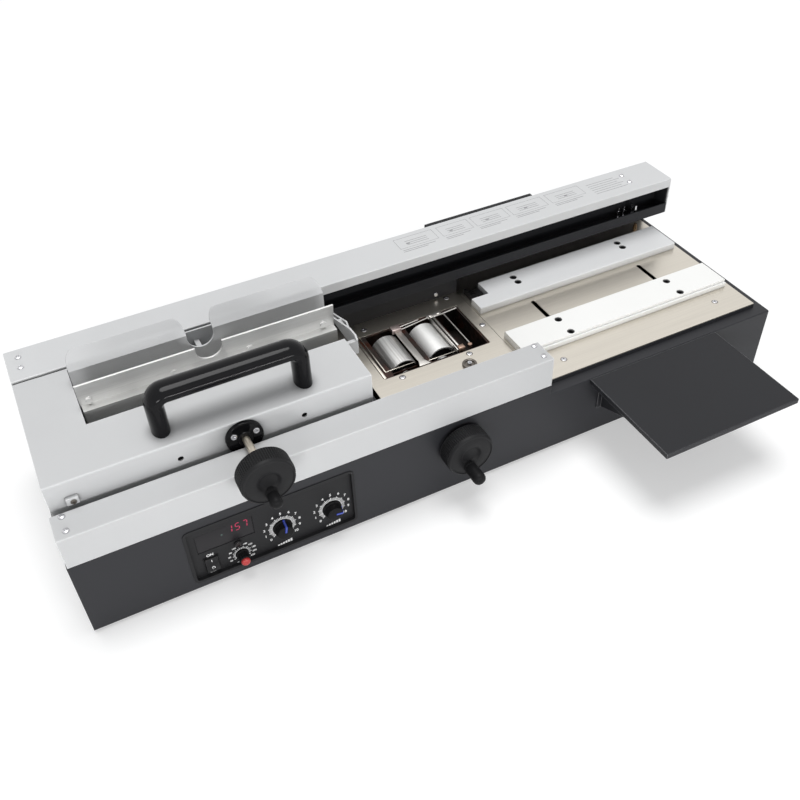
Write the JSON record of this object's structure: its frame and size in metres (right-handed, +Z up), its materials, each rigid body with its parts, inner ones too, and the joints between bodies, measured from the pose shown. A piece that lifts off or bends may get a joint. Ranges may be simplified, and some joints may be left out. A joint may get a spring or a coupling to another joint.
{
  "type": "thermal binding machine",
  "caption": "Tabletop hot-glue book binder with a sliding clamp carriage on rails, a glue tank with rollers, a hand-screwed nip table, a control panel and a side tray.",
  "frame": {"origin": "middle of the whole machine's footprint, at the plane its feet stand on", "axes": "+X runs along the rails from the loading end to the nip table, +Y from the operator's side to the rear beam, +Z up"},
  "size_m": [0.92, 0.472, 0.243],
  "materials": {
    "base_black": "satin",
    "channel_black": "satin",
    "box_black": "matte",
    "tray_black": "satin",
    "cover_grey": "satin",
    "carriage_grey": "satin",
    "jaw_grey": "satin",
    "rubber_black": "matte",
    "rail_steel": "ground",
    "deck_steel": "brushed",
    "tank_cast": "cast",
    "heater_alloy": "machined",
    "divider_steel": "brushed",
    "motor_zinc": "satin",
    "gear_brass": "machined",
    "roller_steel": "turned",
    "nip_grey": "satin",
    "nip_white": "satin",
    "zinc_plate": "zinc plated",
    "stop_brass": "polished",
    "screw_steel": "bright",
    "slide_alloy": "machined",
    "wheel_black": "moulded",
    "grip_black": "polished",
    "panel_black": "fine grain",
    "display_red": "clear filter",
    "switch_black": "moulded",
    "rocker_black": "moulded",
    "knob_black": "moulded",
    "board_green": "solder mask",
    "guide_alloy": "machined",
    "handle_black": "gloss",
    "jaw_dark": "brushed",
    "jaw_silver": "brushed"
  },
  "bodies": {
    "base": {"base_shell": "base_black", "bottom_plate": "base_black", "feet": "rubber_black", "cross_frame": "base_black", "front_rail_cover": "cover_grey", "front_rail": "rail_steel", "rear_rail_channel": "channel_black", "rear_rail_cover": "cover_grey", "rear_rail": "rail_steel", "rear_box": "box_black", "loading_deck": "base_black", "loading_platen": "deck_steel", "glue_tank": "tank_cast", "tank_heater": "heater_alloy", "tank_cover_plate": "deck_steel", "tank_divider": "divider_steel", "glue_scraper": "divider_steel", "drive_motor": "motor_zinc", "table_plinth": "base_black", "table_plate": "deck_steel", "rear_nip_plate": "nip_grey", "nip_bracket": "zinc_plate", "lay_stop": "stop_brass", "nip_guides": "rail_steel", "control_panel": "panel_black", "display_module": "display_red", "control_bodies": "switch_black", "control_board": "board_green", "power_inlet": "switch_black", "side_tray": "tray_black", "fixed_screws": "screw_steel"},
    "carriage": {"carriage_housing": "carriage_grey", "carriage_guides": "guide_alloy", "carriage_handle": "handle_black", "clamp_flange": "handle_black", "rear_jaw": "jaw_grey", "gauge_bracket": "carriage_grey"},
    "jaw": {"jaw_body": "jaw_dark", "jaw_plate": "jaw_silver", "jaw_guides": "screw_steel"},
    "clamp_drive": {"clamp_wheel": "wheel_black", "clamp_screw": "screw_steel"},
    "clamp_crank": {"clamp_grip": "grip_black"},
    "nip": {"front_nip_plate": "nip_white", "nip_screws": "screw_steel", "nip_slide": "slide_alloy"},
    "nip_drive": {"nip_wheel": "wheel_black", "nip_spindle": "screw_steel"},
    "nip_crank": {"nip_grip": "grip_black"},
    "left_roller": {"roller_left": "roller_steel", "gear_left": "gear_brass"},
    "right_roller": {"roller_right": "roller_steel", "gear_right": "gear_brass"},
    "pinion": {"drive_pinion": "gear_brass"},
    "thermostat": {"thermostat_knob": "knob_black"},
    "speed_dial": {"speed_knob": "knob_black"},
    "timer_dial": {"timer_knob": "knob_black"},
    "rocker": {"rocker_switch": "rocker_black"}
  },
  "joints": [
    {"name": "carriage_slide", "type": "slide", "parent": "base", "child": "carriage", "axis": [1, 0, 0], "range_m": [0, 0.528]},
    {"name": "jaw_slide", "type": "slide", "parent": "carriage", "child": "jaw", "axis": [0, 1, 0], "range_m": [-0.018, 0.032]},
    {"name": "clamp_turn", "type": "hinge", "parent": "carriage", "child": "clamp_drive", "pos_m": [-0.2494, -0.089, 0.1635], "axis": [0, 1, 0], "range_deg": [-1625, 2885]},
    {"name": "clamp_grip_spin", "type": "hinge", "parent": "clamp_drive", "child": "clamp_crank", "pos_m": [-0.2494, -0.134, 0.148], "axis": [0, 1, 0], "continuous": true},
    {"name": "nip_slide_travel", "type": "slide", "parent": "base", "child": "nip", "axis": [0, 1, 0], "range_m": [0, 0.055]},
    {"name": "nip_turn", "type": "hinge", "parent": "base", "child": "nip_drive", "pos_m": [-0.0085, -0.089, 0.077], "axis": [0, 1, 0], "range_deg": [-5, 4955]},
    {"name": "nip_grip_spin", "type": "hinge", "parent": "nip_drive", "child": "nip_crank", "pos_m": [-0.011, -0.129, 0.061], "axis": [0, 1, 0], "continuous": true},
    {"name": "left_roller_spin", "type": "hinge", "parent": "base", "child": "left_roller", "pos_m": [-0.015, 0.068, 0.08525], "axis": [0, 1, 0], "continuous": true},
    {"name": "right_roller_spin", "type": "hinge", "parent": "base", "child": "right_roller", "pos_m": [0.039, 0.068, 0.08525], "axis": [0, 1, 0], "continuous": true},
    {"name": "pinion_spin", "type": "hinge", "parent": "base", "child": "pinion", "pos_m": [0.012, 0.13, 0.08525], "axis": [0, 1, 0], "continuous": true},
    {"name": "thermostat_turn", "type": "hinge", "parent": "base", "child": "thermostat", "pos_m": [-0.2865, -0.089, 0.0295], "axis": [0, 1, 0], "range_deg": [-140, 140]},
    {"name": "speed_turn", "type": "hinge", "parent": "base", "child": "speed_dial", "pos_m": [-0.2359, -0.089, 0.0473], "axis": [0, 1, 0], "range_deg": [-150, 150]},
    {"name": "timer_turn", "type": "hinge", "parent": "base", "child": "timer_dial", "pos_m": [-0.1754, -0.089, 0.0461], "axis": [0, 1, 0], "range_deg": [-150, 150]},
    {"name": "rocker_tilt", "type": "hinge", "parent": "base", "child": "rocker", "pos_m": [-0.3211, -0.081, 0.03325], "axis": [1, 0, 0], "range_deg": [0, 22]}
  ],
  "couplings": [
    {"joint": "clamp_turn", "follows": "jaw_slide", "rad_per_m": 1570.8},
    {"joint": "nip_turn", "follows": "nip_slide_travel", "rad_per_m": 1570.8},
    {"joint": "right_roller_spin", "follows": "left_roller_spin", "ratio": 1},
    {"joint": "pinion_spin", "follows": "left_roller_spin", "ratio": -1}
  ]
}
